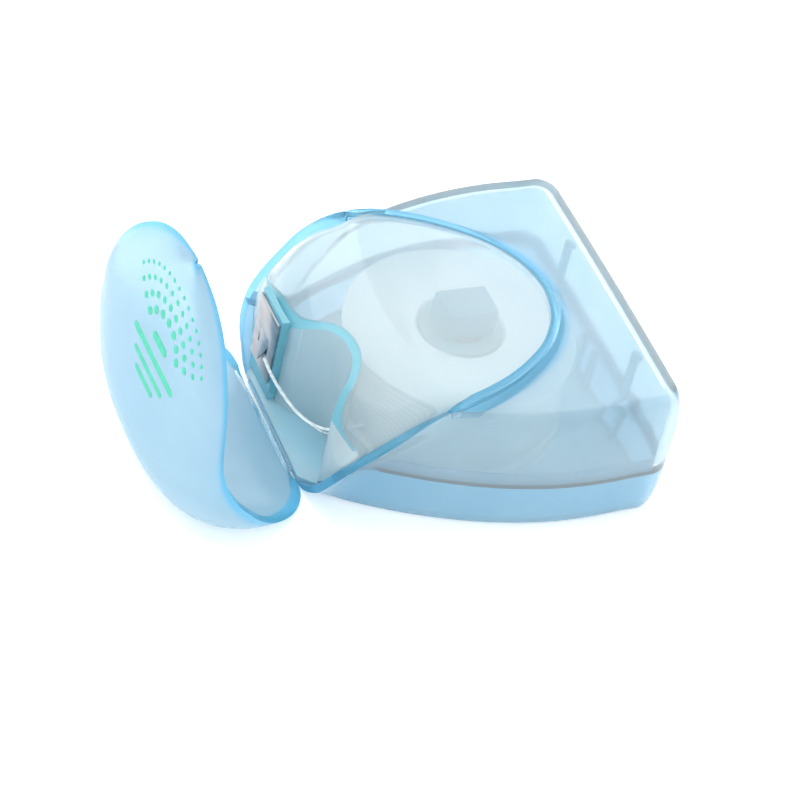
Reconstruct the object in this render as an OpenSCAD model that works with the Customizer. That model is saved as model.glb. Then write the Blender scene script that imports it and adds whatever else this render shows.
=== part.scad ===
// Pocket dental floss dispenser: translucent shield-shaped case with a
// flip lid on a living hinge, a steel cutter and a free-running bobbin.
// Millimetres. Z = 0 is the underside of the case, the nose with the hinge
// points to -X, the square end to +X, and the case is symmetric about Y = 0.

/* [Case] */
// Half length of the case from its centre to the nose and to the base wall
half_l = 25; // [24.5:0.1:25.5]
// Half width of the case at the nose
nose_hw = 12.4; // [12.2:0.1:12.6]
// Half width of the case at the base wall
base_hw = 24.4; // [24:0.1:24.8]
// Corner radius at the base wall
corner_r = 4.8; // [4:0.1:5.5]
// Height of the parting line between tray and cover
part_z = 7.6; // [7.4:0.1:7.8]
// Height of the cover at its base end
top_z = 20.5; // [20.3:0.1:20.7]
// Wall thickness of the moulded case
wall = 1.2; // [1:0.05:1.3]

/* [Lid] */
// How far the lid stands open in the modelled pose, in degrees from shut
lid_open = 83; // [80:0.1:84]
// Wall thickness of the lid
lid_t = 1.25; // [1.1:0.05:1.35]
// Gap between the lid's rim and the rim of the mouth when shut
lid_gap = 0.25; // [0.2:0.05:0.35]
// Distance of the hinge line in front of the case centre
hinge_x = -25.35; // [-25.4:0.05:-25.2]
// Height of the hinge line
hinge_z = 0.9; // [0.85:0.05:0.95]

/* [Bobbin] */
// Centre of the bobbin along the case
spool_x = 1; // [0.8:0.1:1.2]
// Outer radius of the bobbin's flanges
spool_r = 16.4; // [15.5:0.1:16.5]
// Bore radius of the bobbin
bore_r = 6.1; // [6.1:0.01:6.15]
// Radius of the round post that carries the bobbin
post_r = 6; // [5.9:0.01:6]
// Overall height of the bobbin
spool_h = 13; // [12:0.1:13.4]

/* [Cutter] */
// Width of the steel cutter plate
plate_w = 7; // [6.5:0.1:7.2]
// Height of the steel cutter plate
plate_h = 10.6; // [10:0.1:10.8]
// Thickness of the steel cutter plate
plate_t = 0.35; // [0.3:0.05:0.4]

/* [Hidden] */
c_case = [0.55, 0.80, 0.92, 0.55];
c_tray = [0.42, 0.72, 0.90, 0.6];
c_deep = [0.30, 0.66, 0.88, 0.8];
c_steel = [0.72, 0.72, 0.73];
c_floss = [0.96, 0.97, 0.96];

// ---- vector and curve helpers -------------------------------------------
function unit(v) = v / norm(v);
function mix(a, b, t) = a * (1 - t) + b * t;
// Catmull-Rom point on the control list p at parameter u
function cr(p, u) = let (n = len(p), i = min(floor(u), n - 2), t = u - i,
    a = p[max(i - 1, 0)], b = p[i], c = p[i + 1], d = p[min(i + 2, n - 1)])
    0.5 * (2 * b + (c - a) * t + (2 * a - 5 * b + 4 * c - d) * t * t
           + (3 * b - a - 3 * c + d) * t * t * t);

// ---- rim of the mouth ----------------------------------------------------
// Outer edge of the rim on the +Y side, from the hinge end up the flared
// mouth, over the shoulder and round the teardrop on top of the cover.
RIM = [[-24.5, 10.5, 0], [-24.4, 12.8, 0.7], [-24.2, 14.9, 2.2],
       [-24.1, 16.6, 3.9], [-23.7, 18, 6.1], [-22.6, 19.2, 8.8],
       [-20.6, 20.1, 11.5], [-18, 20.8, 14.3], [-15.6, 21.2, 16.7],
       [-12.5, 21, 19], [-9.2, 20.5, 20.3], [-5.7, 19.7, 20.9],
       [-2.2, 18.5, 21], [1.6, 16.7, 21], [5.6, 14.1, 21],
       [9.2, 10.9, 21], [12, 6.8, 21], [13.3, 3, 21], [13.7, 0, 21]];
// Direction out of the rim face, into the case, in degrees below +X
PHI = [0, 0, 0, 5, 14, 25, 35, 43, 51, 62, 76, 88, 90, 90, 90, 90, 90, 90, 90];
// Length over which the flared mouth blends back into the case wall
BLEND = [5.5, 5.5, 5.5, 5.5, 5.4, 5.2, 4.9, 4.6, 4.3, 3.6, 2.6, 1.8, 1.7, 1.6,
         1.4, 1.2, 1.1, 1, 1];
// Outer edge of the lid's rim with the lid shut; it overhangs the mouth a
// little and stops short of the tip of the teardrop, as a lip for the finger
LIDRIM = [[-24.5, 10.5, 0.9], [-24.4, 12.8, 1.2], [-24.2, 14.8, 2.3],
       [-24.1, 16.5, 3.9], [-23.7, 17.8, 6.1], [-22.6, 18.9, 8.8],
       [-20.6, 19.8, 11.5], [-18, 20.5, 14.3], [-15.6, 20.9, 16.7],
       [-12.5, 20.7, 19.15], [-9.9, 20.2, 20.5], [-7.1, 19.4, 21.15],
       [-4.3, 18.2, 21.3], [-1.2, 16.5, 21.35], [2, 13.9, 21.4],
       [4.9, 10.7, 21.4], [7.1, 6.7, 21.5], [8.1, 3, 21.6], [8.5, 0, 21.65]];
// Centre line of the lid, matched one to one with the rim points
SPINE = [[-25.6, 0.9], [-25.9, 4.4], [-26.2, 7.8], [-26.6, 11.3],
       [-26.9, 14.7], [-27, 18], [-26.3, 20.5], [-24.9, 22.3],
       [-22.7, 23.25], [-19.8, 23.45], [-16.7, 23.35], [-13.5, 23.25],
       [-10.3, 23.15], [-7.2, 23.05], [-4, 22.95], [-0.9, 22.85],
       [2.3, 22.8], [5.4, 22.7], [8.6, 22.6]];
// Centre line of the raised dome behind the teardrop's edge
DOME = [[-13.4, 20.8], [-11, 21.05], [-5.6, 21.1], [-0.5, 21.15], [4, 21.15],
       [8, 21.1], [10.8, 21], [12.3, 20.9], [12.9, 20.8]];
// Centre line of the wall that joins the dome to the hinge end
FRONT = [[-25.6, 0.9], [-25.75, 1.5], [-25.85, 3.2], [-25.85, 5.6], [-25.85, 8.4],
         [-25.7, 11.4], [-25.1, 14.5], [-23.5, 17.5], [-21, 19.8], [-17.4, 21.6],
         [-13, 22.7]];
M_LAST = len(RIM) - 1;
STEP = 0.5;                              // curve parameter step
NS = M_LAST / STEP;                      // steps along one side
function rim(u) = cr(RIM, u);
function lrim(u) = cr(LIDRIM, u);
function spine(u) = let (q = cr(SPINE, u)) [q[0], 0, q[1]];
function phi(u) = cr(PHI, u);
function into(u) = let (a = phi(u)) [cos(a), 0, -sin(a)];
function tangent(f, u) = let (e = 0.05, a = max(u - e, 0), b = min(u + e, M_LAST))
    (u > M_LAST - e) ? [0, -1, 0] :
    unit((f == 0 ? rim(b) : lrim(b)) - (f == 0 ? rim(a) : lrim(a)));
// Unit vector along the rim face towards the middle of the mouth
function inward(f, u) = unit(cross(into(u), tangent(f, u)));

// ---- case outline ----------------------------------------------------------
function y_base(x) = let (u = (x + half_l) / (2 * half_l))
    nose_hw + (base_hw - nose_hw) * u + 22.5 * u * (1 - u);
// Shoulder inset of the cover and foot inset of the tray at height z
function inset(z) = z < part_z
    ? 1.2 * (1 - sqrt(max(0, 1 - pow(1 - z / part_z, 3))))
    : let (u = min(1, (z - part_z) / (top_z - part_z)))
      3.2 * (1 - pow(max(0, 1 - pow(u, 3.2)), 1 / 3.2));
// Half outline from x = x0 on the +Y side to the middle of the base wall
function half_outline(x0, d, n = 14, m = 7) = let (
    r = max(corner_r - d, 1.2), xr = half_l + 0.2 - d, cx = xr - r,
    s = -(22.5 - (base_hw - nose_hw)) / (2 * half_l),
    cy = base_hw - d * 1.02 + s * (cx - half_l) - 1.022 * r,
    a0 = 90 + atan(s), xt = cx + r * cos(a0))
    concat([for (i = [0:n]) let (x = x0 + (xt - x0) * pow(i / n, 1.4))
              [x, i == n ? cy + r * sin(a0)
                         : mix(y_base(x) - d * 1.02, cy + r * sin(a0),
                               pow(i / n, 12))]],
           [for (i = [1:m]) let (a = a0 * (1 - i / m))
              [cx + r * cos(a), cy + r * sin(a)]],
           [for (i = [1:2]) [xr + 0.1 * i, cy * (1 - i / 3)]]);
function mirrored(h) = let (n = len(h))
    concat(h, [for (i = [n - 1:-1:0]) [h[i][0], -h[i][1], h[i][2]]]);
// The cover's top falls gently from the base end towards the nose
function lean(x, z) = z <= part_z ? z
    : z - 0.05 * (22 - x) * (z - part_z) / (top_z - part_z);

// Extra width of the flared mouth at distance e behind its edge
function flare(e) = pow(max(0, 1 - e / 6), 1.5);
// Case wall seen as one curve, from the mouth round the base end and back:
// nominal height z, rim parameter u0 at the mouth, inset d, drop dz
function wall_row(z, u0, d, dz) = let (
    a = rim(u0), rd = d > 0 ? [a[0], a[1] - 1.45, a[2] - dz] : a,
    h = half_outline(a[0], inset(z) + d), f = rd[1] - h[0][1],
    g = rd[2] - lean(a[0], z) + dz)
    mirrored([for (q = h) let (w = flare(q[0] - a[0]))
        [q[0], q[1] + f * w, lean(q[0], z) - dz + g * w]]);
NH = 23;                                 // last index of a half row
function top_u(i) = 10 + 8 * i / (NH + 0.5);
// Foot of the step round the teardrop, and the teardrop's edge
function foot_row(e, dz) = mirrored([for (i = [0:NH]) let (u = top_u(i), a = rim(u),
    w = min(1, 0.1 + i / 4), q = a + e * w * inward(0, u), z = lean(q[0], top_z))
    [q[0], q[1], mix(a[2] - 0.05, min(z, a[2] - 0.05), w) - dz]]);
function edge_row(e, dz) = mirrored([for (i = [0:NH]) let (u = top_u(i), a = rim(u),
    q = a + e * inward(0, u)) [q[0], q[1], a[2] - dz]]);
// Tray levels: height and rim parameter
TRAY = [[0.13, 0.25], [0.52, 0.75], [1.43, 1.5], [2.6, 2.2], [4.1, 3.08], [5.8, 3.88], [7.6, 4.56]];
// Cover levels: height, rim parameter and drop of the inner face
COVER = [[7.6, 4.56, 0], [9.4, 5.22, 0], [11.3, 5.93, 0], [13.2, 6.61, 0],
         [15, 7.3, 0.05], [16.6, 7.96, 0.2], [17.8, 8.46, 0.45],
         [18.8, 8.9, 0.75], [19.6, 9.27, 1], [20.15, 9.57, 1.15], [20.45, 9.8, 1.2]];

// ---- arched skin between the two sides of the mouth -------------------------
NV = 7;                                  // steps from rim to centre line
function arch(r, s, v, k) = let (c = pow(max(cos(v), 0), k), h = pow(max(sin(v), 0), k))
    [r[0] + (s[0] - r[0]) * h, r[1] * c, r[2] + (s[2] - r[2]) * h];
function arch_row(r, s, k) = concat(
    [for (j = [0:NV]) arch(r, s, 90 * j / NV, k)],
    [for (j = [NV - 1:-1:0]) let (p = arch(r, s, 90 * j / NV, k)) [p[0], -p[1], p[2]]]);
// Closed shell between an outer and an inner list of rows
module shell(outer, inner) {
    m = len(outer); n = len(outer[0]); o = m * n;
    polyhedron(concat([for (r = outer) for (p = r) p], [for (r = inner) for (p = r) p]),
      concat(
        [for (k = [0:m - 2]) for (i = [0:n - 2])
            each [[k * n + i, (k + 1) * n + i, (k + 1) * n + i + 1],
                  [k * n + i, (k + 1) * n + i + 1, k * n + i + 1]]],
        [for (k = [0:m - 2]) for (i = [0:n - 2])
            each [[o + k * n + i, o + (k + 1) * n + i + 1, o + (k + 1) * n + i],
                  [o + k * n + i, o + k * n + i + 1, o + (k + 1) * n + i + 1]]],
        [for (k = [0:m - 2])
            each [[k * n, o + k * n, o + (k + 1) * n], [k * n, o + (k + 1) * n, (k + 1) * n]]],
        [for (k = [0:m - 2]) let (e = n - 1)
            each [[k * n + e, (k + 1) * n + e, o + (k + 1) * n + e],
                  [k * n + e, o + (k + 1) * n + e, o + k * n + e]]],
        [for (i = [0:n - 2])
            each [[i, i + 1, o + i + 1], [i, o + i + 1, o + i]]],
        [for (i = [0:n - 2]) let (a = (m - 1) * n + i)
            each [[a, o + a + 1, a + 1], [a, o + a, o + a + 1]]]),
      convexity = 10);
}
U_END = M_LAST - 0.25;
function lid_rows(t) = [for (i = [0:2 * NS]) let (
        u = min(i * STEP / 2, U_END), g = i == 0 ? [0, 0, t * 0.9] : [0, 0, 0],
        r = lrim(u) - lid_gap * into(u) + t * inward(1, u),
        s = spine(u) + t * spine_in(u) + g,
        w = arch_row(r, s, u < 10 ? 0.86 : max(0.66, 0.86 - (u - 10) / 15)), low = lrim(u)[2] - (u > 9.6 ? 0 : 9))
        if (i * STEP / 2 <= U_END) [for (p = w) [p[0], p[1], max(p[2], low)]]];
// Unit vector from the lid's centre line towards its hollow
function spine_in(u) = let (e = 0.1, a = spine(max(u - e, 0)), b = spine(min(u + e, M_LAST)),
    d = unit(b - a)) [d[2], 0, -d[0]];

// ---- front wall of the bobbin chamber ---------------------------------------
BULK = [[-20.6, 18.6], [-21.8, 16.4], [-22.3, 13.5], [-22.3, 10.7],
        [-22.3, 7.6], [-22.2, 5.7], [-21.9, 3.9], [-21.2, 2.3], [-20.1, 0.9],
        [-18.9, -0.6], [-17.9, -2.8], [-17.6, -5.5], [-18, -7.7], [-19.2, -9.9],
        [-21, -11.6], [-22.1, -13.4], [-22, -16.2], [-20.8, -18.6]];
function bulk(u) = cr(BULK, u);
B_LAST = len(BULK) - 1;
NB = 51;
function bulk_side(d) = [for (i = [0:NB]) let (u = B_LAST * i / NB,
    a = bulk(max(u - 0.05, 0)), b = bulk(min(u + 0.05, B_LAST)), t = unit(b - a))
    bulk(u) + d * [-t[1], t[0]]];
module bulk_plan(d0, d1) {
    polygon(concat(bulk_side(d0), [for (p = [NB:-1:0]) bulk_side(d1)[p]]));
}
module behind_bulk(d) {
    polygon(concat([[40, 40], [-12, 40]], bulk_side(d), [[-12, -40], [40, -40]]));
}

// ---- dome under the lid ------------------------------------------------------
function front(u) = let (q = cr(FRONT, min(u, 10))) [q[0], 0, q[1]];
function front_in(u) = let (a = front(max(u - 0.1, 0)), b = front(u + 0.1),
    d = unit(b - a)) [d[2], 0, -d[0]];
function dome_spine(u) = u < 10 ? front(u) + 2.05 * front_in(u)
    : let (q = cr(DOME, u - 10)) [q[0], 0, q[1]];
function dome_row(u, t) = let (v = u < 10 ? front_in(u) : [0, 0, -1],
        b = max(0, min(1, (11 - u) / 1.5)),
        r = rim(u) + (0.8 + 0.8 * b) * inward(0, u) + (0.9 * b + t) * into(u)
            - [0, 0, 0.25],
        s = dome_spine(u) + t * v)
        arch_row([r[0], max(r[1], 0.02), r[2]], s, u < 10 ? 0.88 : max(0.8, 0.88 - (u - 10) / 20));
function dome_rows(t) = [for (i = [10:2 * (M_LAST - 0.5)]) dome_row(i / 2, t)];
// Space below the dome and inside the flared sides, for trimming
module chamber_front() {
    rows = [for (i = [2:2 * (M_LAST - 2)]) [for (p = dome_row(i / 2, 1.3))
        [p[0], 0.93 * p[1], p[2]]]];
    low = [for (r = rows) [for (p = r) let (m = y_base(p[0]) - 3.6)
        [p[0] + 0.001, min(m, max(-m, p[1] * 0.85)), wall]]];
    shell(rows, low);
}

// ===== nodes ==================================================================
module lower_tray() color(c_tray) {
    // side walls with the lower half of the flared mouth
    shell([for (q = TRAY) wall_row(q[0], q[1], wall, 0)],
          [for (q = TRAY) wall_row(q[0], q[1], 0, 0)]);
    // floor
    linear_extrude(wall) polygon([for (p = mirrored(half_outline(-21.5, 1.5, 11, 4))) [p[0], p[1]]]);
    // front lip along the hinge
    linear_extrude(1.3)
        polygon([[-24.6, -9.9], [-21.1, -12.7], [-21.1, 12.7], [-24.6, 9.9]]);
}

module upper_cover() color(c_case) {
    // side walls, shoulder and the step up to the edge of the teardrop
    shell(concat([for (q = COVER) wall_row(q[0], q[1], wall, q[2])],
                 [foot_row(-0.4, 1.2), edge_row(0.5, 1.3), edge_row(1.45, 1.3)]),
          concat([for (q = COVER) wall_row(q[0], q[1], 0, 0)],
                 [foot_row(-0.8, 0), edge_row(0, 0), edge_row(1.25, 0)]));
    // dome that closes the bobbin chamber
    intersection() {
        shell(dome_rows(0), dome_rows(1.1));
        linear_extrude(60) behind_bulk(-0.6);
    }
}

module front_bulkhead() color(c_deep) {
    difference() {
        intersection() {
            translate([0, 0, wall + 0.12]) linear_extrude(30) bulk_plan(-0.6, 0.6);
            chamber_front();
        }
        // outlet for the floss
        translate([-19.6, -8.6, 5.2]) cube([3.4, 2.2, 1.8]);
    }
}

module cutter_post() color(c_deep) {
    // block that carries the steel plate, standing in front of the wall
    difference() {
        translate([-23.82, 4.4, wall + 0.13]) cube([2.2, 8, 15]);
        linear_extrude(40) behind_bulk(-0.64);
    }
}

module cutter_blade() color(c_steel) {
    // plate with a lifted, pointed tongue
    translate([-23.85 - plate_t, 4.7, 4.2]) {
        difference() {
            cube([plate_t, plate_w, plate_h]);
            // window the tongue is bent out of
            translate([-1, 1.8, 3.4]) cube([2, 3.4, 2.6]);
        }
        // tongue, bent forwards from the upper edge of the window
        translate([0.1, 1.9, 6.2]) rotate([0, 10, 0]) translate([-plate_t, 0, -3])
            rotate([90, 0, 90]) linear_extrude(plate_t)
            polygon([[0, 3], [3.2, 3], [3.2, 1.6], [1.6, 0.3], [0, 1.6]]);
    }
}

module spool_post() color(c_deep) {
    translate([spool_x, 0, 0]) {
        translate([0, 0, wall + 0.02]) cylinder(r = 7.8, h = 0.6, $fn = 64);
        translate([0, 0, wall + 0.02]) cylinder(r = post_r, h = 14, $fn = 64);
        translate([-3.8, -2.8, 15]) cube([7.6, 5.6, 4.6]);
    }
}

module snap_hooks() color(c_deep) {
    // barbed hooks on the tray that reach up into the cover at its base end
    for (y = [-12.4, 11.2]) translate([21.9, y, wall + 0.02]) {
        cube([0.9, 1.2, 16.2]);
        translate([0, 0, 15]) cube([1.6, 1.2, 0.8]);
    }
    for (y = [-1.8, 1.8]) translate([22.2, y - 0.6, wall + 0.02]) cube([0.9, 1.2, 7]);
}

// The open lid leans a little to one side, as its flexible hinge lets it
HINGE_V = [-0.0909, 0.9958, 0.0082];
module hinge_place() {
    translate([hinge_x, 0, hinge_z]) rotate(-lid_open, HINGE_V)
        translate([-hinge_x, 0, -hinge_z]) children();
}
module flip_lid() color(c_case) hinge_place() shell(lid_rows(0), lid_rows(lid_t));

module hinge_web() color(c_tray) {
    // thin flexible strip between the lip of the tray and the lid
    translate([-24.88, -9, 0.5]) cube([0.26, 18, 0.35]);
}

module spool_core() color([0.93, 0.96, 0.97]) translate([spool_x, 0, 1.9]) {
    difference() {
        union() {
            cylinder(r = spool_r, h = 0.8, $fn = 96);
            cylinder(r = 7.6, h = spool_h, $fn = 96);
            translate([0, 0, spool_h - 0.8]) cylinder(r = spool_r, h = 0.8, $fn = 96);
        }
        translate([0, 0, -1]) cylinder(r = bore_r, h = spool_h + 2, $fn = 96);
    }
}

module floss_winding() color(c_floss) translate([spool_x, 0, 2.72])
    rotate_extrude($fn = 96) polygon([[7.61, 0], [15.6, 0], [15.9, 1.2],
        [15.9, spool_h - 2.84], [15.6, spool_h - 1.64], [7.61, spool_h - 1.64]]);

// Route of the loose end: off the winding, out of the chamber, up to the blade
LEAD = [[-14.7, -7.3, 6.4], [-16.6, -7.5, 6.2], [-18.5, -7.4, 6], [-20, -6.4, 5.4],
        [-21.5, -4.2, 5], [-22.7, -1.4, 5.2], [-23.7, 1.8, 6], [-24.4, 4, 7.1], [-24.75, 5.9, 8]];
function frame_at(f, u, n) = let (a = cr(f, max(u - 0.05, 0)), b = cr(f, min(u + 0.05, n)),
    t = unit(b - a), s = unit(cross(t, [0, 0, 1]))) [t, s, cross(s, t)];
module floss_lead() color(c_floss) {
    n = len(LEAD) - 1; m = 3 * n;
    pts = [for (i = [0:m]) let (u = n * i / m, p = cr(LEAD, u), f = frame_at(LEAD, u, n))
           for (k = [0:7]) p + 0.32 * cos(45 * k) * f[1] + 0.2 * sin(45 * k) * f[2]];
    polyhedron(pts, concat([[for (k = [0:7]) k]],
        [for (i = [0:m - 1]) for (k = [0:7]) let (j = (k + 1) % 8)
            each [[i * 8 + k, (i + 1) * 8 + k, (i + 1) * 8 + j],
                  [i * 8 + k, (i + 1) * 8 + j, i * 8 + j]]],
        [[for (k = [7:-1:0]) m * 8 + k]]), convexity = 6);
}

lower_tray();
upper_cover();
front_bulkhead();
cutter_post();
cutter_blade();
spool_post();
snap_hooks();
flip_lid();
hinge_web();
spool_core();
floss_winding();
floss_lead();
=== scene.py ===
import bpy, bmesh, math
import numpy as np
from mathutils import Matrix, Vector
from mathutils.bvhtree import BVHTree


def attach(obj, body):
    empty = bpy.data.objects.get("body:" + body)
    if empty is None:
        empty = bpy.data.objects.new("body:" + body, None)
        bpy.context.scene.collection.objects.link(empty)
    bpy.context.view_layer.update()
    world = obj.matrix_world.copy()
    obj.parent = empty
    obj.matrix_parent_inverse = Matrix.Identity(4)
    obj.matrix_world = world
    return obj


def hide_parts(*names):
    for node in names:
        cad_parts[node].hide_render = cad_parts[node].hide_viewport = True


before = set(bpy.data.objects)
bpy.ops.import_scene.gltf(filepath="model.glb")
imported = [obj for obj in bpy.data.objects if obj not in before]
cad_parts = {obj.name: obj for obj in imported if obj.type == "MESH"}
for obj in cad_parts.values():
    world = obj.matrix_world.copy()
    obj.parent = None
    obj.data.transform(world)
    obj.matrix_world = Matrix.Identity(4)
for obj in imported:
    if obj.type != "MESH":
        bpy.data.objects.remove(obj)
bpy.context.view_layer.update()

MM = 0.001

# ---------------------------------------------------------------- dimensions
half_l, nose_hw, base_hw, corner_r = 25.0, 12.4, 24.4, 4.8
part_z, top_z, wall = 7.6, 20.5, 1.2
lid_open, lid_t, lid_gap = 83.0, 1.25, 0.25
HINGE = Vector((-25.35, 0.0, 0.9))
HINGE_V = Vector((-0.0909, 0.9958, 0.0082)).normalized()
spool_x, spool_r, bore_r, post_r, spool_h = 1.0, 16.4, 6.1, 6.0, 13.0

RIM = np.array([[-24.5, 10.5, 0], [-24.4, 12.8, 0.7], [-24.2, 14.9, 2.2],
       [-24.1, 16.6, 3.9], [-23.7, 18, 6.1], [-22.6, 19.2, 8.8],
       [-20.6, 20.1, 11.5], [-18, 20.8, 14.3], [-15.6, 21.2, 16.7],
       [-12.5, 21, 19], [-9.2, 20.5, 20.3], [-5.7, 19.7, 20.9],
       [-2.2, 18.5, 21], [1.6, 16.7, 21], [5.6, 14.1, 21],
       [9.2, 10.9, 21], [12, 6.8, 21], [13.3, 3, 21], [13.7, 0, 21]], float)
PHI = np.array([0, 0, 0, 5, 14, 25, 35, 43, 51, 62, 76, 88, 90, 90, 90, 90, 90, 90, 90], float)
LIDRIM = np.array([[-24.5, 10.5, 0.9], [-24.4, 12.8, 1.2], [-24.2, 14.8, 2.3],
       [-24.1, 16.5, 3.9], [-23.7, 17.8, 6.1], [-22.6, 18.9, 8.8],
       [-20.6, 19.8, 11.5], [-18, 20.5, 14.3], [-15.6, 20.9, 16.7],
       [-12.5, 20.7, 19.15], [-9.9, 20.2, 20.5], [-7.1, 19.4, 21.15],
       [-4.3, 18.2, 21.3], [-1.2, 16.5, 21.35], [2, 13.9, 21.4],
       [4.9, 10.7, 21.4], [7.1, 6.7, 21.5], [8.1, 3, 21.6], [8.5, 0, 21.65]], float)
SPINE = np.array([[-25.6, 0.9], [-25.9, 4.4], [-26.2, 7.8], [-26.6, 11.3],
       [-26.9, 14.7], [-27, 18], [-26.3, 20.5], [-24.9, 22.3],
       [-22.7, 23.25], [-19.8, 23.45], [-16.7, 23.35], [-13.5, 23.25],
       [-10.3, 23.15], [-7.2, 23.05], [-4, 22.95], [-0.9, 22.85],
       [2.3, 22.8], [5.4, 22.7], [8.6, 22.6]], float)
DOME = np.array([[-13.4, 20.8], [-11, 21.05], [-5.6, 21.1], [-0.5, 21.15], [4, 21.15],
       [8, 21.1], [10.8, 21], [12.3, 20.9], [12.9, 20.8]], float)
FRONT = np.array([[-25.6, 0.9], [-25.75, 1.5], [-25.85, 3.2], [-25.85, 5.6], [-25.85, 8.4],
         [-25.7, 11.4], [-25.1, 14.5], [-23.5, 17.5], [-21, 19.8], [-17.4, 21.6],
         [-13, 22.7]], float)
BULK = np.array([[-20.6, 18.6], [-21.8, 16.4], [-22.3, 13.5], [-22.3, 10.7],
        [-22.3, 7.6], [-22.2, 5.7], [-21.9, 3.9], [-21.2, 2.3], [-20.1, 0.9],
        [-18.9, -0.6], [-17.9, -2.8], [-17.6, -5.5], [-18, -7.7], [-19.2, -9.9],
        [-21, -11.6], [-22.1, -13.4], [-22, -16.2], [-20.8, -18.6]], float)
TRAY = np.array([[0.13, 0.25], [0.52, 0.75], [1.43, 1.5], [2.6, 2.2], [4.1, 3.08], [5.8, 3.88], [7.6, 4.56]])
COVER = np.array([[7.6, 4.56, 0], [9.4, 5.22, 0], [11.3, 5.93, 0], [13.2, 6.61, 0],
         [15, 7.3, 0.05], [16.6, 7.96, 0.2], [17.8, 8.46, 0.45],
         [18.8, 8.9, 0.75], [19.6, 9.27, 1], [20.15, 9.57, 1.15], [20.45, 9.8, 1.2]])
M_LAST = len(RIM) - 1


# ---------------------------------------------------------------- curves
def cr(P, u):
    n = len(P)
    i = int(min(math.floor(u), n - 2))
    t = u - i
    a, b, c, d = P[max(i - 1, 0)], P[i], P[i + 1], P[min(i + 2, n - 1)]
    return 0.5 * (2 * b + (c - a) * t + (2 * a - 5 * b + 4 * c - d) * t * t
                  + (3 * b - a - 3 * c + d) * t ** 3)


def unit(v):
    return v / np.linalg.norm(v)


def rim(u):
    return cr(RIM, u)


def lrim(u):
    return cr(LIDRIM, u)


def on_axis(P, u):
    q = cr(P, u)
    return np.array([q[0], 0.0, q[1]])


def spine(u):
    return on_axis(SPINE, u)


def into(u):
    a = math.radians(cr(PHI, u))
    return np.array([math.cos(a), 0, -math.sin(a)])


def tangent(f, u):
    e = 0.05
    a, b = max(u - e, 0), min(u + e, M_LAST)
    if u > M_LAST - e:
        return np.array([0, -1.0, 0])
    return unit(f(b) - f(a))


def inward(f, u):
    return unit(np.cross(into(u), tangent(f, u)))


def side_in(P, u, last):
    a, b = on_axis(P, max(u - 0.1, 0)), on_axis(P, min(u + 0.1, last))
    d = unit(b - a)
    return np.array([d[2], 0, -d[0]])


def y_base(x):
    u = (x + half_l) / (2 * half_l)
    return nose_hw + (base_hw - nose_hw) * u + 22.5 * u * (1 - u)


def inset(z):
    if z < part_z:
        return 1.2 * (1 - math.sqrt(max(0, 1 - (1 - z / part_z) ** 3)))
    u = min(1, (z - part_z) / (top_z - part_z))
    return 3.2 * (1 - max(0, 1 - u ** 3.2) ** (1 / 3.2))


COLS = np.concatenate([np.linspace(0, 3, 13)[:-1], np.linspace(3, 14, 34)[:-1],
                       np.linspace(14, 21, 29)[:-1], np.linspace(21, 23.5, 9)])


def half_outline(x0, d):
    """Half outline sampled at COLS, from the mouth to the middle of the base wall."""
    r = max(corner_r - d, 1.2)
    xr = half_l + 0.2 - d
    cx = xr - r
    s = -(22.5 - (base_hw - nose_hw)) / (2 * half_l)
    cy = base_hw - d * 1.02 + s * (cx - half_l) - 1.022 * r
    a0 = 90 + math.degrees(math.atan(s))
    xt = cx + r * math.cos(math.radians(a0))
    yt = cy + r * math.sin(math.radians(a0))
    out = []
    for c in COLS:
        if c <= 14:
            t = c / 14
            x = x0 + (xt - x0) * t ** 1.4
            y = y_base(x) - d * 1.02
            w = t ** 12
            out.append([x, y * (1 - w) + yt * w])
        elif c <= 21:
            a = math.radians(a0 * (1 - (c - 14) / 7))
            out.append([cx + r * math.cos(a), cy + r * math.sin(a)])
        else:
            t = (c - 21) / 2.5
            out.append([xr + 0.2 * (1 - (1 - t) ** 2), cy * (1 - t)])
    return np.array(out)


def mirrored(h):
    """Mirror a half row whose last point lies on the axis."""
    h = np.array(h)
    m = h[-2::-1].copy()
    m[:, 1] *= -1
    h[-1, 1] = 0
    return np.vstack([h, m])


def lean(x, z):
    return z if z <= part_z else z - 0.05 * (22 - x) * (z - part_z) / (top_z - part_z)


def flare(e):
    return max(0, 1 - e / 6) ** 1.5


def wall_row(z, u0, d, dz, skin=0.0):
    a = rim(u0)
    rd = np.array([a[0], a[1] - 1.45 * min(1, d / wall), a[2] - dz]) if d > 0 else a
    h = half_outline(a[0], inset(z) + d + skin)
    f = rd[1] - h[0][1]
    g = rd[2] - lean(a[0], z) + dz
    return mirrored([[q[0], q[1] + f * flare(q[0] - a[0]),
                      lean(q[0], z) - dz + g * flare(q[0] - a[0])] for q in h])


def top_u(c):
    return 10 + 8 * c / 23.5


def foot_row(e, dz):
    out = []
    for c in COLS:
        u = top_u(c)
        a = rim(u)
        w = min(1, 0.1 + c / 4)
        q = a + e * w * inward(rim, u)
        z = lean(q[0], top_z)
        out.append([q[0], q[1], (a[2] - 0.05) * (1 - w) + min(z, a[2] - 0.05) * w - dz])
    return mirrored(out)


def edge_row(e, dz):
    out = []
    for c in COLS:
        u = top_u(c)
        a = rim(u)
        q = a + e * inward(rim, u)
        b = max(0, 1 - c / 3.5) ** 2
        out.append([q[0], q[1], a[2] - dz - b * min(1.2, 0.83 * e) * (1 if dz < 1 else 0.4)])
    return mirrored(out)


def arch(r, s, v, k):
    v = math.radians(v)
    c, h = max(math.cos(v), 0) ** k, max(math.sin(v), 0) ** k
    return np.array([r[0] + (s[0] - r[0]) * h, r[1] * c, r[2] + (s[2] - r[2]) * h])


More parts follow.
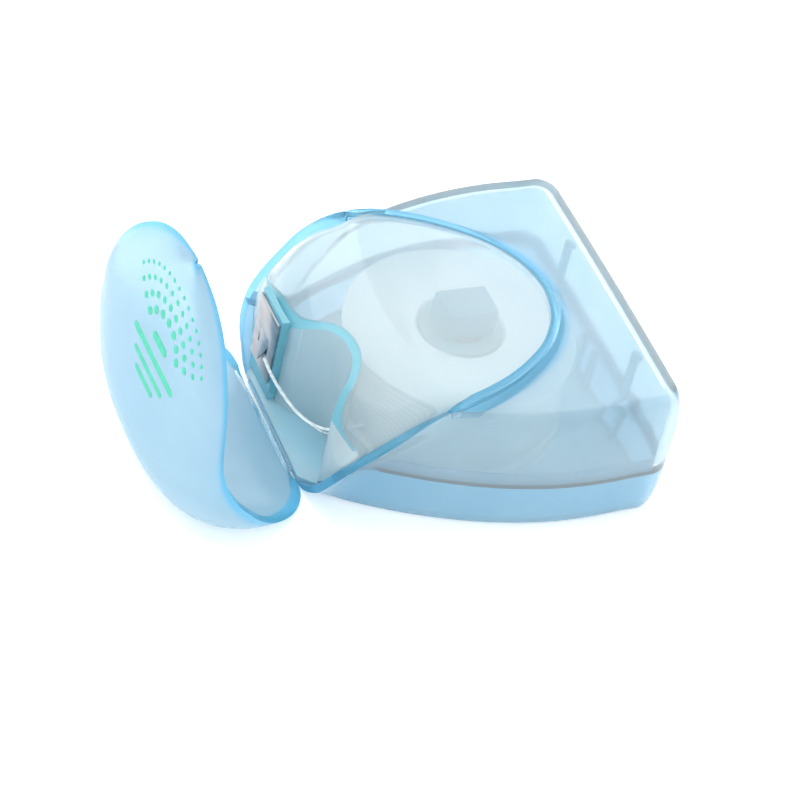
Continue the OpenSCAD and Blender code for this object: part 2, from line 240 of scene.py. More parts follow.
def arch_row(r, s, k, vs):
    half = np.array([arch(r, s, v, k) for v in vs])
    half[-1, 1] = 0
    m = half[-2::-1].copy()
    m[:, 1] *= -1
    return np.vstack([half, m])


VS = np.concatenate([[0, 0.8, 2.0, 3.6, 5.6, 8], np.linspace(11, 90, 26)])


def lid_row(u, t):
    r = lrim(u) - lid_gap * into(u) + t * inward(lrim, u)
    s = spine(u) + t * side_in(SPINE, u, M_LAST)
    if u < 0.05:
        s = s + np.array([0, 0, t * 0.9 * (1 - u / 0.05)])
    k = 0.86 if u < 10 else max(0.66, 0.86 - (u - 10) / 15)
    w = arch_row(r, s, k, VS)
    e = max(0, min(1, (12 - u) / 5))
    low = lrim(u)[2] - 9 * e * e
    w[:, 2] = np.maximum(w[:, 2], low)
    return w


# centre line of the chamber's skin: the offset front wall, then the dome, as one curve
SKINLINE = np.array([[p[0], p[1]] for p in
                     [(on_axis(FRONT, u) + 2.05 * side_in(FRONT, u, 10.1))[[0, 2]] for u in range(0, 10)]]
                    + [list(p) for p in DOME])


def dome_row(u, t, vs):
    s = on_axis(SKINLINE, u)
    v = side_in(SKINLINE, u, M_LAST)
    b = max(0, min(1, (11 - u) / 1.5))
    b = b * b * (3 - 2 * b)
    r = rim(u) + (0.8 + 0.8 * b) * inward(rim, u) + (0.9 * b + t) * into(u) - np.array([0, 0, 0.25])
    s = s + t * v
    k = 0.88 if u < 10 else max(0.8, 0.88 - (u - 10) / 20)
    return arch_row([r[0], max(r[1], 0.02), r[2]], s, k, vs)


# ---------------------------------------------------------------- mesh helpers
def add(name, mesh, body, mat, replaces=()):
    ob = bpy.data.objects.new(name, mesh)
    bpy.context.scene.collection.objects.link(ob)
    if mat is not None:
        mesh.materials.clear()
        mesh.materials.append(mat)
    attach(ob, body)
    for n in replaces:
        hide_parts(n)
    return ob


def mesh_of(name, verts, faces, band=None, merge=1e-5, recalc=True):
    me = bpy.data.meshes.new(name)
    me.from_pydata([tuple(v) for v in np.asarray(verts, float) * MM], [], faces)
    if band is not None:
        at = me.attributes.new("band", "FLOAT", "POINT")
        at.data.foreach_set("value", np.asarray(band, np.float32))
    bm = bmesh.new()
    bm.from_mesh(me)
    if merge:
        bmesh.ops.remove_doubles(bm, verts=bm.verts, dist=merge * MM)
    bmesh.ops.dissolve_degenerate(bm, edges=bm.edges, dist=1e-9)
    if recalc:
        bmesh.ops.recalc_face_normals(bm, faces=bm.faces)
    bm.to_mesh(me)
    bm.free()
    return me


def grid_shell(name, outer, inner, band=None, merge=1e-3):
    """Closed shell between two grids of points."""
    outer, inner = np.array(outer), np.array(inner)
    m, n, _ = outer.shape
    o = m * n
    faces = []
    for k in range(m - 1):
        for i in range(n - 1):
            faces.append((k * n + i, (k + 1) * n + i, (k + 1) * n + i + 1, k * n + i + 1))
            faces.append((o + k * n + i, o + k * n + i + 1, o + (k + 1) * n + i + 1, o + (k + 1) * n + i))
        faces.append((k * n, o + k * n, o + (k + 1) * n, (k + 1) * n))
        e = n - 1
        faces.append((k * n + e, (k + 1) * n + e, o + (k + 1) * n + e, o + k * n + e))
    for i in range(n - 1):
        faces.append((i, i + 1, o + i + 1, o + i))
        a = (m - 1) * n + i
        faces.append((a, o + a, o + a + 1, a + 1))
    b = None
    if band is not None:
        b = np.concatenate([np.asarray(band[0]).ravel(), np.asarray(band[1]).ravel()])
    return mesh_of(name, np.vstack([outer.reshape(-1, 3), inner.reshape(-1, 3)]), faces, b, merge)


def smooth(ob, angle=38):
    me = ob.data
    me.polygons.foreach_set("use_smooth", [True] * len(me.polygons))
    me.set_sharp_from_angle(angle=math.radians(angle))
    me.update()


def bevel(ob, width, segments=2, angle=40):
    md = ob.modifiers.new("edge", "BEVEL")
    md.width = width * MM
    md.segments = segments
    md.limit_method = "ANGLE"
    md.angle_limit = math.radians(angle)
    md.use_clamp_overlap = True
    md.harden_normals = False
    return md


def bake(ob):
    """Apply the object's modifiers to its mesh."""
    dg = bpy.context.evaluated_depsgraph_get()
    ev = ob.evaluated_get(dg)
    me = bpy.data.meshes.new_from_object(ev)
    old = ob.data
    ob.modifiers.clear()
    ob.data = me
    if old.users == 0:
        bpy.data.meshes.remove(old)


def boolean(mesh, cutter, op):
    a = bpy.data.objects.new("tmp_a", mesh)
    b = bpy.data.objects.new("tmp_b", cutter)
    for q in (a, b):
        bpy.context.scene.collection.objects.link(q)
    md = a.modifiers.new("cut", "BOOLEAN")
    md.object, md.operation, md.solver = b, op, "EXACT"
    bpy.context.view_layer.update()
    dg = bpy.context.evaluated_depsgraph_get()
    me = bpy.data.meshes.new_from_object(a.evaluated_get(dg))
    bpy.data.objects.remove(a)
    bpy.data.objects.remove(b)
    return me


def prism(name, poly, z0, z1):
    """Closed prism over a list of (x, y) points."""
    n = len(poly)
    v = [[p[0], p[1], z0] for p in poly] + [[p[0], p[1], z1] for p in poly]
    f = [tuple(range(n))[::-1], tuple(range(n, 2 * n))]
    f += [(i, (i + 1) % n, n + (i + 1) % n, n + i) for i in range(n)]
    return mesh_of(name, v, f)


def box_mesh(name, lo, hi):
    return prism(name, [(lo[0], lo[1]), (hi[0], lo[1]), (hi[0], hi[1]), (lo[0], hi[1])], lo[2], hi[2])


def revolve(name, profile, n=128, cx=spool_x):
    """Closed ring from a closed (r, z) profile."""
    m = len(profile)
    v = []
    for i in range(n):
        a = 2 * math.pi * i / n
        for r, z in profile:
            v.append([cx + r * math.cos(a), r * math.sin(a), z])
    f = [(i * m + j, ((i + 1) % n) * m + j, ((i + 1) % n) * m + (j + 1) % m, i * m + (j + 1) % m)
         for i in range(n) for j in range(m)]
    return mesh_of(name, v, f, merge=0)


def join_meshes(name, meshes):
    bm = bmesh.new()
    for me in meshes:
        bm.from_mesh(me)
    out = bpy.data.meshes.new(name)
    bm.to_mesh(out)
    bm.free()
    return out


def ribbon(name, path, w, t, nu=10, round_ends=True):
    """Flat strand of width w and thickness t along a polyline of points."""
    P = np.array(path, float)
    T = np.gradient(P, axis=0)
    T /= np.linalg.norm(T, axis=1)[:, None]
    v, n = [], len(P)
    ref = np.array([0, 0, 1.0])
    for i in range(n):
        s = np.cross(T[i], ref)
        s = unit(s) if np.linalg.norm(s) > 1e-6 else np.array([1.0, 0, 0])
        q = np.cross(s, T[i])
        k = 1.0
        if round_ends and (i == 0 or i == n - 1):
            k = 0.6
        for j in range(nu):
            a = 2 * math.pi * j / nu
            v.append(P[i] + k * (w / 2 * math.cos(a) * s + t / 2 * math.sin(a) * q))
    f = [tuple(range(nu))[::-1], tuple((n - 1) * nu + j for j in range(nu))]
    f += [(i * nu + j, i * nu + (j + 1) % nu, (i + 1) * nu + (j + 1) % nu, (i + 1) * nu + j)
          for i in range(n - 1) for j in range(nu)]
    return mesh_of(name, v, f, merge=0)


# ---------------------------------------------------------------- materials
def srgb(r, g, b):
    def f(c):
        c = c / 255
        return c / 12.92 if c <= 0.04045 else ((c + 0.055) / 1.055) ** 2.4
    return (f(r), f(g), f(b), 1)


def new_mat(name):
    m = bpy.data.materials.new(name)
    m.use_nodes = True
    nt = m.node_tree
    nt.nodes.clear()
    out = nt.nodes.new("ShaderNodeOutputMaterial")
    p = nt.nodes.new("ShaderNodeBsdfPrincipled")
    nt.links.new(p.outputs[0], out.inputs["Surface"])
    return m, nt, p, out


def noise(nt, scale, detail=3, rough=0.5, distort=0.0, stretch=None):
    tc = nt.nodes.new("ShaderNodeTexCoord")
    src = tc.outputs["Object"]
    if stretch:
        mp = nt.nodes.new("ShaderNodeMapping")
        mp.inputs["Scale"].default_value = stretch
        nt.links.new(src, mp.inputs["Vector"])
        src = mp.outputs["Vector"]
    n = nt.nodes.new("ShaderNodeTexNoise")
    n.inputs["Scale"].default_value = scale
    n.inputs["Detail"].default_value = detail
    n.inputs["Roughness"].default_value = rough
    n.inputs["Distortion"].default_value = distort
    nt.links.new(src, n.inputs["Vector"])
    return n.outputs["Fac"]


def ramp(nt, fac, stops):
    r = nt.nodes.new("ShaderNodeValToRGB")
    els = r.color_ramp.elements
    while len(els) < len(stops):
        els.new(0.5)
    for e, (pos, col) in zip(els, stops):
        e.position = pos
        e.color = col if len(col) == 4 else (*col, 1)
    nt.links.new(fac, r.inputs["Fac"])
    return r.outputs["Color"]


def mixc(nt, fac, a, b, mode="MIX"):
    m = nt.nodes.new("ShaderNodeMix")
    m.data_type = "RGBA"
    m.blend_type = mode
    if hasattr(fac, "links"):
        nt.links.new(fac, m.inputs[0])
    else:
        m.inputs[0].default_value = fac
    for s, v in ((m.inputs[6], a), (m.inputs[7], b)):
        if hasattr(v, "links"):
            nt.links.new(v, s)
        else:
            s.default_value = v
    return m.outputs[2]


def maprange(nt, v, a, b, c, d):
    m = nt.nodes.new("ShaderNodeMapRange")
    nt.links.new(v, m.inputs[0])
    for i, x in enumerate((a, b, c, d)):
        m.inputs[1 + i].default_value = x
    return m.outputs[0]


def bump(nt, p, height, strength, dist):
    b = nt.nodes.new("ShaderNodeBump")
    b.inputs["Strength"].default_value = strength
    b.inputs["Distance"].default_value = dist
    nt.links.new(height, b.inputs["Height"])
    nt.links.new(b.outputs[0], p.inputs["Normal"])


def poly_mat(name, skin, skin2, band, trans, rough, use_band=True, ior=1.45):
    """Translucent moulded polypropylene: faint flow marks, a fine haze and deeper colour at the edges."""
    m, nt, p, out = new_mat(name)
    flow = noise(nt, 70, 3, 0.5, 0.6, (1.0, 0.55, 0.8))
    col = ramp(nt, flow, [(0.3, skin), (0.72, skin2)])
    if use_band:
        at = nt.nodes.new("ShaderNodeAttribute")
        at.attribute_name = "band"
        col = mixc(nt, at.outputs["Fac"], col, band)
    nt.links.new(col, p.inputs["Base Color"])
    fine = noise(nt, 420, 4, 0.6)
    nt.links.new(maprange(nt, fine, 0.3, 0.7, rough - 0.04, rough + 0.05), p.inputs["Roughness"])
    p.inputs["IOR"].default_value = ior
    p.inputs["Transmission Weight"].default_value = trans
    wav = noise(nt, 60, 1, 0.3)
    bump(nt, p, wav, 0.03, 0.0002)
    return m


SKIN = srgb(207, 231, 242)
SKIN2 = srgb(218, 237, 245)
BAND = srgb(122, 208, 244)
M_COVER = poly_mat("cover_pp", SKIN, SKIN2, BAND, 0.74, 0.12, ior=1.36)
M_DOME = poly_mat("dome_pp", srgb(232, 244, 247), srgb(239, 247, 250), BAND, 0.75, 0.09, ior=1.36)
M_TRAY = poly_mat("tray_pp", srgb(172, 221, 246), srgb(186, 228, 249), srgb(122, 210, 249), 0.62, 0.20)
M_FLOOR = poly_mat("floor_pp", srgb(196, 239, 254), srgb(206, 243, 254), srgb(122, 210, 249), 0.55, 0.20)
M_DEEP = poly_mat("deep_pp", srgb(152, 236, 254), srgb(166, 240, 254), srgb(122, 210, 249), 0.56, 0.18)
M_HEAD = poly_mat("head_pp", srgb(0, 150, 178), srgb(8, 160, 188), srgb(0, 140, 170), 0.05, 0.35)
M_WALL = poly_mat("wall_pp", srgb(238, 252, 255), srgb(244, 253, 255), srgb(122, 210, 249), 0.52, 0.18)
M_LID = poly_mat("lid_pp", srgb(172, 212, 231), srgb(186, 220, 236), srgb(112, 206, 243), 0.55, 0.22)


def white_mat():
    m, nt, p, out = new_mat("bobbin_ps")
    col = ramp(nt, noise(nt, 60, 3), [(0.3, (0.86, 0.92, 0.93)), (0.7, (0.92, 0.95, 0.955))])
    nt.links.new(col, p.inputs["Base Color"])
    nt.links.new(maprange(nt, noise(nt, 500, 3), 0.3, 0.7, 0.32, 0.46), p.inputs["Roughness"])
    bump(nt, p, noise(nt, 260, 2), 0.1, 0.0001)
    return m


def floss_mat(name, scale_v):
    m, nt, p, out = new_mat(name)
    tc = nt.nodes.new("ShaderNodeTexCoord")
    w = nt.nodes.new("ShaderNodeTexWave")
    w.wave_type = "BANDS"
    w.bands_direction = "Z"
    w.inputs["Scale"].default_value = scale_v
    w.inputs["Distortion"].default_value = 1.2
    w.inputs["Detail"].default_value = 2
    nt.links.new(tc.outputs["Object"], w.inputs["Vector"])
    col = ramp(nt, w.outputs["Fac"], [(0.0, (0.74, 0.80, 0.80)), (0.6, (0.90, 0.93, 0.92)), (1.0, (0.95, 0.97, 0.96))])
    nt.links.new(col, p.inputs["Base Color"])
    nt.links.new(maprange(nt, noise(nt, 900, 3), 0.3, 0.7, 0.30, 0.5), p.inputs["Roughness"])
    p.inputs["Coat Weight"].default_value = 0.25
    bump(nt, p, w.outputs["Fac"], 0.35, 0.0001)
    return m


def steel_mat():
    m, nt, p, out = new_mat("cutter_steel")
    lines = noise(nt, 260, 3, 0.6, 0, (1.0, 0.15, 4.0))
    col = ramp(nt, lines, [(0.25, srgb(142, 140, 142)), (0.75, srgb(190, 188, 190))])
    nt.links.new(col, p.inputs["Base Color"])
    p.inputs["Metallic"].default_value = 1.0
    nt.links.new(maprange(nt, lines, 0.2, 0.8, 0.26, 0.42), p.inputs["Roughness"])
    bump(nt, p, lines, 0.15, 0.00005)
    return m


def ink_mat():
    m, nt, p, out = new_mat("ink_teal")
    col = ramp(nt, noise(nt, 900, 3), [(0.3, srgb(14, 176, 142)), (0.75, srgb(32, 192, 158))])
    nt.links.new(col, p.inputs["Base Color"])
    nt.links.new(maprange(nt, noise(nt, 1500, 2), 0.3, 0.7, 0.30, 0.42), p.inputs["Roughness"])
    return m


M_WHITE = white_mat()
M_WIND = floss_mat("floss_wound", 420)
M_FLOSS = floss_mat("floss_strand", 900)
M_STEEL = steel_mat()
M_INK = ink_mat()


# ---------------------------------------------------------------- tray
def fine_levels(P, n):
    us = np.linspace(0, len(P) - 1, n)
    return np.array([cr(P, u) for u in us])


def band_cols(n_rows, reach=1.1):
    """Deeper colour on the columns next to the mouth."""
    half = np.clip(1 - COLS / 0.45, 0, 1)
    row = np.concatenate([half, half[-2::-1]])
    return np.tile(row, (n_rows, 1))


TL = fine_levels(TRAY, 26)
t_out = [wall_row(z, u, 0, 0, 0.03) for z, u in TL]
t_in = [wall_row(z, u, wall, 0) for z, u in TL]
ob = add("tray_wall", grid_shell("tray_wall", t_out, t_in, (band_cols(len(TL)), band_cols(len(TL)))),
         "case", M_TRAY, ["lower_tray"])
bevel(ob, 0.22, 2)
bake(ob)
smooth(ob)

fl = mirrored(half_outline(-21.5, 1.5))
fl_poly = [(p[0], p[1]) for p in fl] + [(-24.55, -10.6), (-24.55, 10.6)]
ob = add("tray_floor", prism("tray_floor", fl_poly, 0.0, wall), "case", M_FLOOR)
bevel(ob, 0.2, 2)
bake(ob)
smooth(ob)

# tongue of the tray that stands inside the cover, above the parting line
tg = np.linspace(7.3, 9.3, 5)
uo = lambda z: np.interp(z, COVER[:, 0], COVER[:, 1])
ob = add("tray_tongue", grid_shell("tray_tongue", [wall_row(z, uo(z), wall + 0.06, 0) for z in tg],
                                   [wall_row(z, uo(z), wall + 0.7, 0) for z in tg]), "case", M_TRAY)
bevel(ob, 0.12, 2)
bake(ob)
smooth(ob)

# ---------------------------------------------------------------- cover
CL = fine_levels(COVER, 46)
NC = len(mirrored(half_outline(-20, 0)))
c_out = [wall_row(z, u, 0, 0, 0.03) for z, u, dz in CL]
c_in = [wall_row(z, u, wall, dz) for z, u, dz in CL]
f_out, f_in = foot_row(-0.8, 0.02), foot_row(-0.4, 1.2)
for s in np.linspace(0, 1, 13)[1:-1]:
    c_out.insert(len(CL) + int(round(s * 12)) - 1, c_out[len(CL) - 1] * (1 - s) + f_out * s)
    c_in.insert(len(CL) + int(round(s * 12)) - 1, c_in[len(CL) - 1] * (1 - s) + f_in * s)
n_wall = len(c_out)
c_out += [f_out]
c_in += [f_in]
e_out, e_in = edge_row(0, 0.02), edge_row(0.5, 1.3)
for s in (0.25, 0.5, 0.75):
    c_out.append(f_out * (1 - s) + e_out * s)
    c_in.append(f_in * (1 - s) + e_in * s)
c_out += [e_out, edge_row(0.6, 0.02), edge_row(1.25, 0.02)]
c_in += [e_in, edge_row(0.9, 1.3), edge_row(1.45, 1.3)]
bo = band_cols(len(c_out))
bo[n_wall:, :] = np.maximum(bo[n_wall:, :], np.linspace(0.75, 1, len(c_out) - n_wall)[:, None])
bi = band_cols(len(c_in))
bi[n_wall:, :] = np.maximum(bi[n_wall:, :], 0.6)
ob = add("cover_shell", grid_shell("cover_shell", c_out, c_in, (bo, bi)), "case", M_COVER,
         ["upper_cover"])
bevel(ob, 0.2, 2)
bake(ob)
smooth(ob)


# ---------------------------------------------------------------- dome and the curved front wall
def bulk_side(d, ext=0.0):
    out = []
    last = len(BULK) - 1
    for u in np.linspace(0, last, 103):
        a, b = cr(BULK, max(u - 0.05, 0)), cr(BULK, min(u + 0.05, last))
        t = unit(b - a)
        out.append(cr(BULK, u) + d * np.array([-t[1], t[0]]))
    return out


VD = np.linspace(0, 90, 29)
US = np.concatenate([np.arange(4.0, 17.5, 0.25), [17.5, 17.7, 17.85, 17.95]])
d_out = [dome_row(u, 0.0, VD) for u in US]
d_in = [dome_row(u, 1.1, VD) for u in US]
dome_full = grid_shell("dome_full", d_out, d_in)
keep = prism("keep", [(40, 40), (-12, 40)] + [tuple(p) for p in bulk_side(0.45)] + [(-12, -40), (40, -40)], -5, 60)
dome = boolean(dome_full, keep, "INTERSECT")
ob = add("cover_dome", dome, "case", M_DOME)
smooth(ob, 35)

rows = [dome_row(u, 0.03, VD) for u in np.arange(1.0, 16.1, 0.5)]
low = [np.stack([r[:, 0] + 0.001, np.clip(r[:, 1] * 0.9, -(y_base(r[:, 0]) - 1.9), y_base(r[:, 0]) - 1.9),
                 np.full(len(r), wall)], 1) for r in rows]
chamber = grid_shell("chamber", rows, low)
sw = prism("s_wall", [tuple(p) for p in bulk_side(-0.6)] + [tuple(p) for p in bulk_side(0.6)[::-1]], wall + 0.1, 32)
wallm = boolean(sw, chamber, "INTERSECT")
hole = box_mesh("hole", (-19.6, -8.6, 5.2), (-16.2, -6.4, 7.0))
wallm = boolean(wallm, hole, "DIFFERENCE")
ob = add("front_wall", wallm, "case", M_WALL, ["front_bulkhead"])
bevel(ob, 0.28, 3, 50)
bake(ob)
ob.data.materials.append(M_DEEP)
for q in ob.data.polygons:
    if q.normal.z > 0.35:
        q.material_index = 1
smooth(ob, 35)

# ---------------------------------------------------------------- cutter
blk = box_mesh("block", (-23.82, 4.3, wall + 0.13), (-21.2, 11.9, 15.6))
cut = prism("cut", [(40, 40), (-12, 40)] + [tuple(p) for p in bulk_side(-0.62)] + [(-12, -40), (40, -40)], -5, 60)
blk = boolean(blk, cut, "DIFFERENCE")
ob = add("cutter_block", blk, "case", M_DEEP, ["cutter_post"])
bevel(ob, 0.3, 3, 50)
bake(ob)
smooth(ob, 35)


def plate(name):
    """Stamped steel plate: four strips round the window, and the bent tongue."""
    x1, y0, z0 = -23.86, 4.7, 4.2
    w, h, t = 7.0, 10.6, 0.34
    bm_parts = []
    outer = prism(name, [(0, 0), (w, 0), (w, h), (0, h)], 0, t)
    win = box_mesh("win", (1.8, 3.4, -1), (5.2, 6.0, 1))
    pl = boolean(outer, win, "DIFFERENCE")
    bm_parts.append(pl)
    # rows of the tongue: it leaves the plate above the window and bends forwards
    rows = []
    for s in np.linspace(0, 1, 9):
        half = 2.0 * (1 - s) ** 0.9 + 0.05
        zz = 6.05 - 4.6 * s
        out = 0.10 + 0.45 * s ** 1.3
        rows.append([(3.5 - half, zz, out), (3.5 + half, zz, out)])
    v, f = [], []
    for (a, b) in rows:
        for p in (a, b):
            v.append(p)
    for (a, b) in rows:
        for p in (a, b):
            v.append((p[0], p[1], p[2] + 0.2))
    n = len(rows)
    for i in range(n - 1):
        k = 2 * i
        f += [(k, k + 1, k + 3, k + 2), (2 * n + k, 2 * n + k + 2, 2 * n + k + 3, 2 * n + k + 1),
              (k, k + 2, 2 * n + k + 2, 2 * n + k), (k + 1, 2 * n + k + 1, 2 * n + k + 3, k + 3)]
    f += [(0, 2 * n, 2 * n + 1, 1), (2 * n - 2, 2 * n - 1, 4 * n - 1, 4 * n - 2)]
    bm_parts.append(mesh_of("tongue", v, f))
    me = join_meshes(name, bm_parts)
    # plate coordinates (y, z, out) to case coordinates
    me.transform(Matrix(((0, 0, -1, x1 * MM), (1, 0, 0, y0 * MM), (0, 1, 0, z0 * MM), (0, 0, 0, 1))))
    return me


pm = plate("cutter_plate")
ob = add("cutter_plate", pm, "case", M_STEEL, ["cutter_blade"])
bm = bmesh.new()
bm.from_mesh(ob.data)
bmesh.ops.recalc_face_normals(bm, faces=bm.faces)
bm.to_mesh(ob.data)
bm.free()
bevel(ob, 0.05, 2, 50)
bake(ob)
smooth(ob, 30)

# ---------------------------------------------------------------- post, hooks, web
def rounded_ring(r0, r1, z0, z1, b):
    return [(r0, z0 + b), (r0 + b * 0.3, z0 + b * 0.3), (r0 + b, z0), (r1 - b, z0), (r1 - b * 0.3, z0 + b * 0.3),
            (r1, z0 + b), (r1, z1 - b), (r1 - b * 0.3, z1 - b * 0.3), (r1 - b, z1), (r0 + b, z1),
            (r0 + b * 0.3, z1 - b * 0.3), (r0, z1 - b)]


post = revolve("post", rounded_ring(3.6, post_r, wall + 0.02, 15.2, 0.25), 96)
foot = revolve("foot", rounded_ring(3.65, 7.8, wall + 0.03, wall + 0.62, 0.15), 96)
ob = add("post_tube", join_meshes("post_tube", [post, foot]), "case", M_DEEP, ["spool_post"])
smooth(ob, 35)
head = prism("post_head", [(spool_x - 3.8, -2.8), (spool_x + 3.8, -2.8), (spool_x + 3.8, 2.8), (spool_x - 3.8, 2.8)], 15.0, 19.6)
ob = add("post_head", head, "case", M_HEAD)
bevel(ob, 0.4, 3, 50)
bake(ob)
smooth(ob, 35)

hk = []
for y in (-12.4, 11.2):
    hk.append(prism("hook", [(21.9, y), (22.8, y), (22.8, y + 1.2), (21.9, y + 1.2)], wall + 0.02, 17.4))
    hk.append(box_mesh("barb", (22.85, y + 0.02, 16.25), (23.48, y + 1.18, 16.98)))
for y in (-1.8, 1.8):
    hk.append(box_mesh("peg", (22.2, y - 0.6, wall + 0.02), (23.1, y + 0.6, 8.2)))
ob = add("snap_hook_set", join_meshes("snap_hook_set", hk), "case", M_DEEP, ["snap_hooks"])
bevel(ob, 0.12, 2, 50)
bake(ob)
smooth(ob, 35)

ob = add("hinge_strip", box_mesh("hinge_strip", (-24.95, -9, 0.5), (-24.5, 9, 0.85)), "case", M_TRAY,
         ["hinge_web"])
bevel(ob, 0.1, 2, 50)
bake(ob)
smooth(ob, 35)

# ---------------------------------------------------------------- bobbin
z0 = 1.9
ring = [(bore_r, z0 + 0.3), (bore_r + 0.3, z0), (spool_r - 0.3, z0), (spool_r, z0 + 0.25), (spool_r, z0 + 0.55),
        (spool_r - 0.3, z0 + 0.8), (7.9, z0 + 0.8), (7.6, z0 + 1.1), (7.6, z0 + 11.9), (7.9, z0 + 12.2),
        (spool_r - 0.3, z0 + 12.2), (spool_r, z0 + 12.45), (spool_r, z0 + 12.75), (spool_r - 0.3, z0 + 13),
        (bore_r + 0.3, z0 + 13), (bore_r, z0 + 12.7)]
ob = add("bobbin", revolve("bobbin", ring, 160), "bobbin", M_WHITE, ["spool_core"])
smooth(ob, 40)
prof = [(7.65, 2.76), (7.65, 14.0)]
nz = 34
side = []
for i in range(nz * 4 + 1):
    t = i / (nz * 4)
    z = 14.0 - (14.0 - 2.76) * t
    r = 15.75 + 0.12 * abs(math.sin(math.pi * t * nz)) - 0.5 * (abs(2 * t - 1) ** 14)
    side.append((r, z))
ob = add("winding", revolve("winding", prof + side, 128), "bobbin", M_WIND, ["floss_winding"])
smooth(ob, 60)

# ---------------------------------------------------------------- loose floss
LEAD = np.array([[-14.7, -7.3, 6.4], [-16.6, -7.5, 6.2], [-18.5, -7.4, 6], [-20, -6.4, 5.4],
        [-21.5, -4.2, 5], [-22.7, -1.4, 5.2], [-23.7, 1.8, 6], [-24.4, 4, 7.1], [-24.7, 5.9, 8]])
path = [cr(LEAD, u) for u in np.linspace(0, len(LEAD) - 1, 64)]
ob = add("floss_end", ribbon("floss_end", path, 0.55, 0.26), "case", M_FLOSS, ["floss_lead"])
smooth(ob, 60)
LOOP = np.array([[-21.6, -3.9, 5.3], [-21.2, -3.2, 4.2], [-20.4, -3.0, 3.2], [-19.6, -3.7, 2.8],
                 [-18.9, -5.2, 3.2], [-18.4, -6.6, 4.4], [-17.6, -7.3, 5.6]])
path = [cr(LOOP, u) for u in np.linspace(0, len(LOOP) - 1, 48)]
ob = add("floss_loop", ribbon("floss_loop", path, 0.34, 0.2), "case", M_FLOSS)
smooth(ob, 60)

# ---------------------------------------------------------------- lid
ROT = Matrix.Translation(HINGE * MM) @ Matrix.Rotation(math.radians(-lid_open), 4, HINGE_V) \
    @ Matrix.Translation(-HINGE * MM)
U_END = M_LAST - 0.25
LU = np.concatenate([np.arange(0, U_END, 0.2), [U_END]])
l_out = [lid_row(u, 0.05) for u in LU]
l_in = [lid_row(u, lid_t) for u in LU]
nv = l_out[0].shape[0]
vh = np.clip((7 - VS) / 5, 0, 1)
vb = np.concatenate([vh, vh[-2::-1]])
lb = np.tile(vb, (len(LU), 1))
lb[-1, :] = 1
lb[-2, :] = np.maximum(lb[-2, :], 0.5)
lb[0, :] = 1
lid_me = grid_shell("lid_shell", l_out, l_in, (lb, lb))
lid_bvh_src = grid_shell("lid_probe", l_out, l_in)
lid_me.transform(ROT)
ob = add("lid_shell", lid_me, "lid", M_LID, ["flip_lid"])
bevel(ob, 0.3, 3)
bake(ob)
smooth(ob)

# print on the lid: a wave of plain dots and three rounded bars
bvh = BVHTree.FromPolygons([v.co.copy() for v in lid_bvh_src.vertices], [list(p.vertices) for p in lid_bvh_src.polygons])


def on_lid(x, y):
    hit, nrm, _, _ = bvh.ray_cast(Vector((x, y, 60)) * MM, Vector((0, 0, -1)))
    return hit, nrm


def pad(points, lift=0.03):
    """Thin raised patch of ink over a closed outline of (x, y) points with its centre first."""
    top, bot = [], []
    for x, y in points:
        h, n = on_lid(x, y)
        if h is None:
            return None
        top.append(h + n * lift * MM)
        bot.append(h - n * 0.05 * MM)
    n = len(points)
    v = [tuple(q / MM) for q in top + bot]
    f = []
    for i in range(1, n):
        j = 1 + i % (n - 1)
        f += [(0, i, j), (n, n + j, n + i), (i, n + i, n + j, j)]
    return mesh_of("pad", v, f, merge=0)


def capsule(x, y, hl, r, n=16):
    """Outline of a bar along Y with round ends, centre first."""
    pts = [(x, y)]
    for k in range(n + 1):
        a = math.pi * k / n
        pts.append((x + r * math.cos(a), y + hl + r * math.sin(a)))
    for k in range(n + 1):
        a = math.pi + math.pi * k / n
        pts.append((x + r * math.cos(a), y - hl + r * math.sin(a)))
    return pts


pads = []
for ring_r, dot_r, count, half_a in ((4.2, 0.60, 7, 66), (6.1, 0.50, 10, 66), (8.0, 0.40, 13, 64), (9.8, 0.30, 16, 60)):
    for k in range(count):
        a = math.radians(-half_a + 2 * half_a * k / (count - 1))
        pads.append(pad(capsule(-6.9 + ring_r * math.cos(a), ring_r * math.sin(a) * 1.22, 0.001, dot_r)))
for x, hl, r in ((-6.6, 1.6, 0.60), (-9.4, 6.2, 0.5), (-11.7, 4.4, 0.38), (-13.6, 2.6, 0.38)):
    pads.append(pad(capsule(x, 0.0, hl, r)))
pm = join_meshes("lid_print", [q for q in pads if q is not None])
pm.transform(ROT)
ob = add("lid_print", pm, "lid", M_INK)
smooth(ob, 30)

for n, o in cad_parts.items():
    if not o.data.materials:
        o.data.materials.append(M_TRAY)

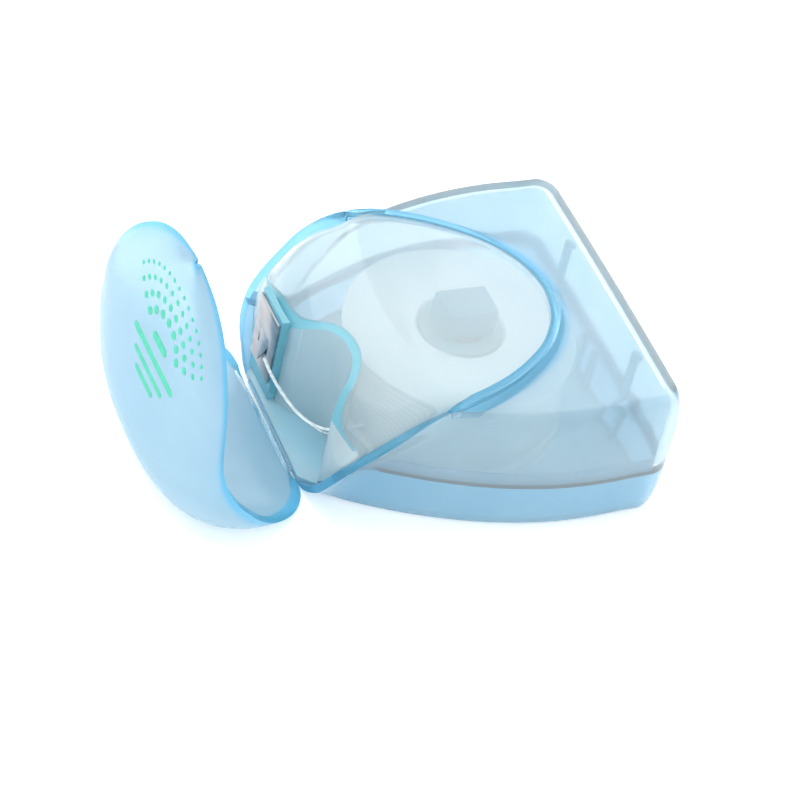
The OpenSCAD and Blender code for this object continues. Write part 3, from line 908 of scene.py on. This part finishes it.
# ---------------------------------------------------------------- stage, light, camera
bm = bmesh.new()
bmesh.ops.create_grid(bm, x_segments=8, y_segments=8, size=3.0)
me = bpy.data.meshes.new("floor")
bm.to_mesh(me)
bm.free()
floor = bpy.data.objects.new("floor", me)
bpy.context.scene.collection.objects.link(floor)
floor.location = (0, 0, -0.00005)
m, nt, p, out = new_mat("floor_white")
nt.links.new(ramp(nt, noise(nt, 3, 2), [(0.3, (0.90, 0.91, 0.92)), (0.7, (0.93, 0.94, 0.945))]), p.inputs["Base Color"])
p.inputs["Roughness"].default_value = 0.9
p.inputs["Specular IOR Level"].default_value = 0.1
p.inputs["Emission Color"].default_value = (1, 1, 1, 1)
p.inputs["Emission Strength"].default_value = 0.3
me.materials.append(m)

w = bpy.data.worlds.new("studio")
bpy.context.scene.world = w
w.use_nodes = True
bg = w.node_tree.nodes["Background"]
bg.inputs["Color"].default_value = (0.95, 0.98, 1.0, 1)
bg.inputs["Strength"].default_value = 1.15


def area(name, loc, target, size, energy, color=(1, 1, 1)):
    l = bpy.data.lights.new(name, "AREA")
    l.shape = "RECTANGLE"
    l.size, l.size_y = size
    l.energy = energy
    l.color = color
    o = bpy.data.objects.new(name, l)
    bpy.context.scene.collection.objects.link(o)
    o.location = loc
    o.rotation_euler = (Vector(target) - Vector(loc)).to_track_quat("-Z", "Y").to_euler()
    return o


area("key", (-0.15, 0.35, 0.55), (0, 0, 0), (0.8, 0.6), 2.4)
area("back_strip", (0.35, 0.35, 0.30), (0, 0, 0.01), (0.25, 0.5), 0.8)
area("fill", (-0.45, -0.35, 0.30), (0, 0, 0.01), (0.5, 0.5), 0.3)

f, el, az, D, cx, cy, roll = 3007.485, 41.8908, -31.5380, 424.209, 32.880, 7.291, 14.8483
el, az, roll = (math.radians(v) for v in (el, az, roll))
back = Vector((math.sin(az) * math.cos(el), -math.cos(az) * math.cos(el), math.sin(el)))
right = Vector((math.cos(az), math.sin(az), 0))
up = back.cross(right)
r2 = math.cos(roll) * right + math.sin(roll) * up
u2 = -math.sin(roll) * right + math.cos(roll) * up
cam = bpy.data.objects.new("camera", bpy.data.cameras.new("camera"))
bpy.context.scene.collection.objects.link(cam)
cam.matrix_world = Matrix(((r2.x, u2.x, back.x, back.x * D * MM), (r2.y, u2.y, back.y, back.y * D * MM),
                           (r2.z, u2.z, back.z, back.z * D * MM), (0, 0, 0, 1)))
cam.data.sensor_width = 36
cam.data.lens = f / 800 * 36
cam.data.shift_x = -cx / 800
cam.data.shift_y = cy / 800
cam.data.clip_start = 0.01
cam.data.clip_end = 50
bpy.context.scene.camera = cam
bpy.context.scene.view_settings.view_transform = "Standard"

bpy.context.view_layer.update()
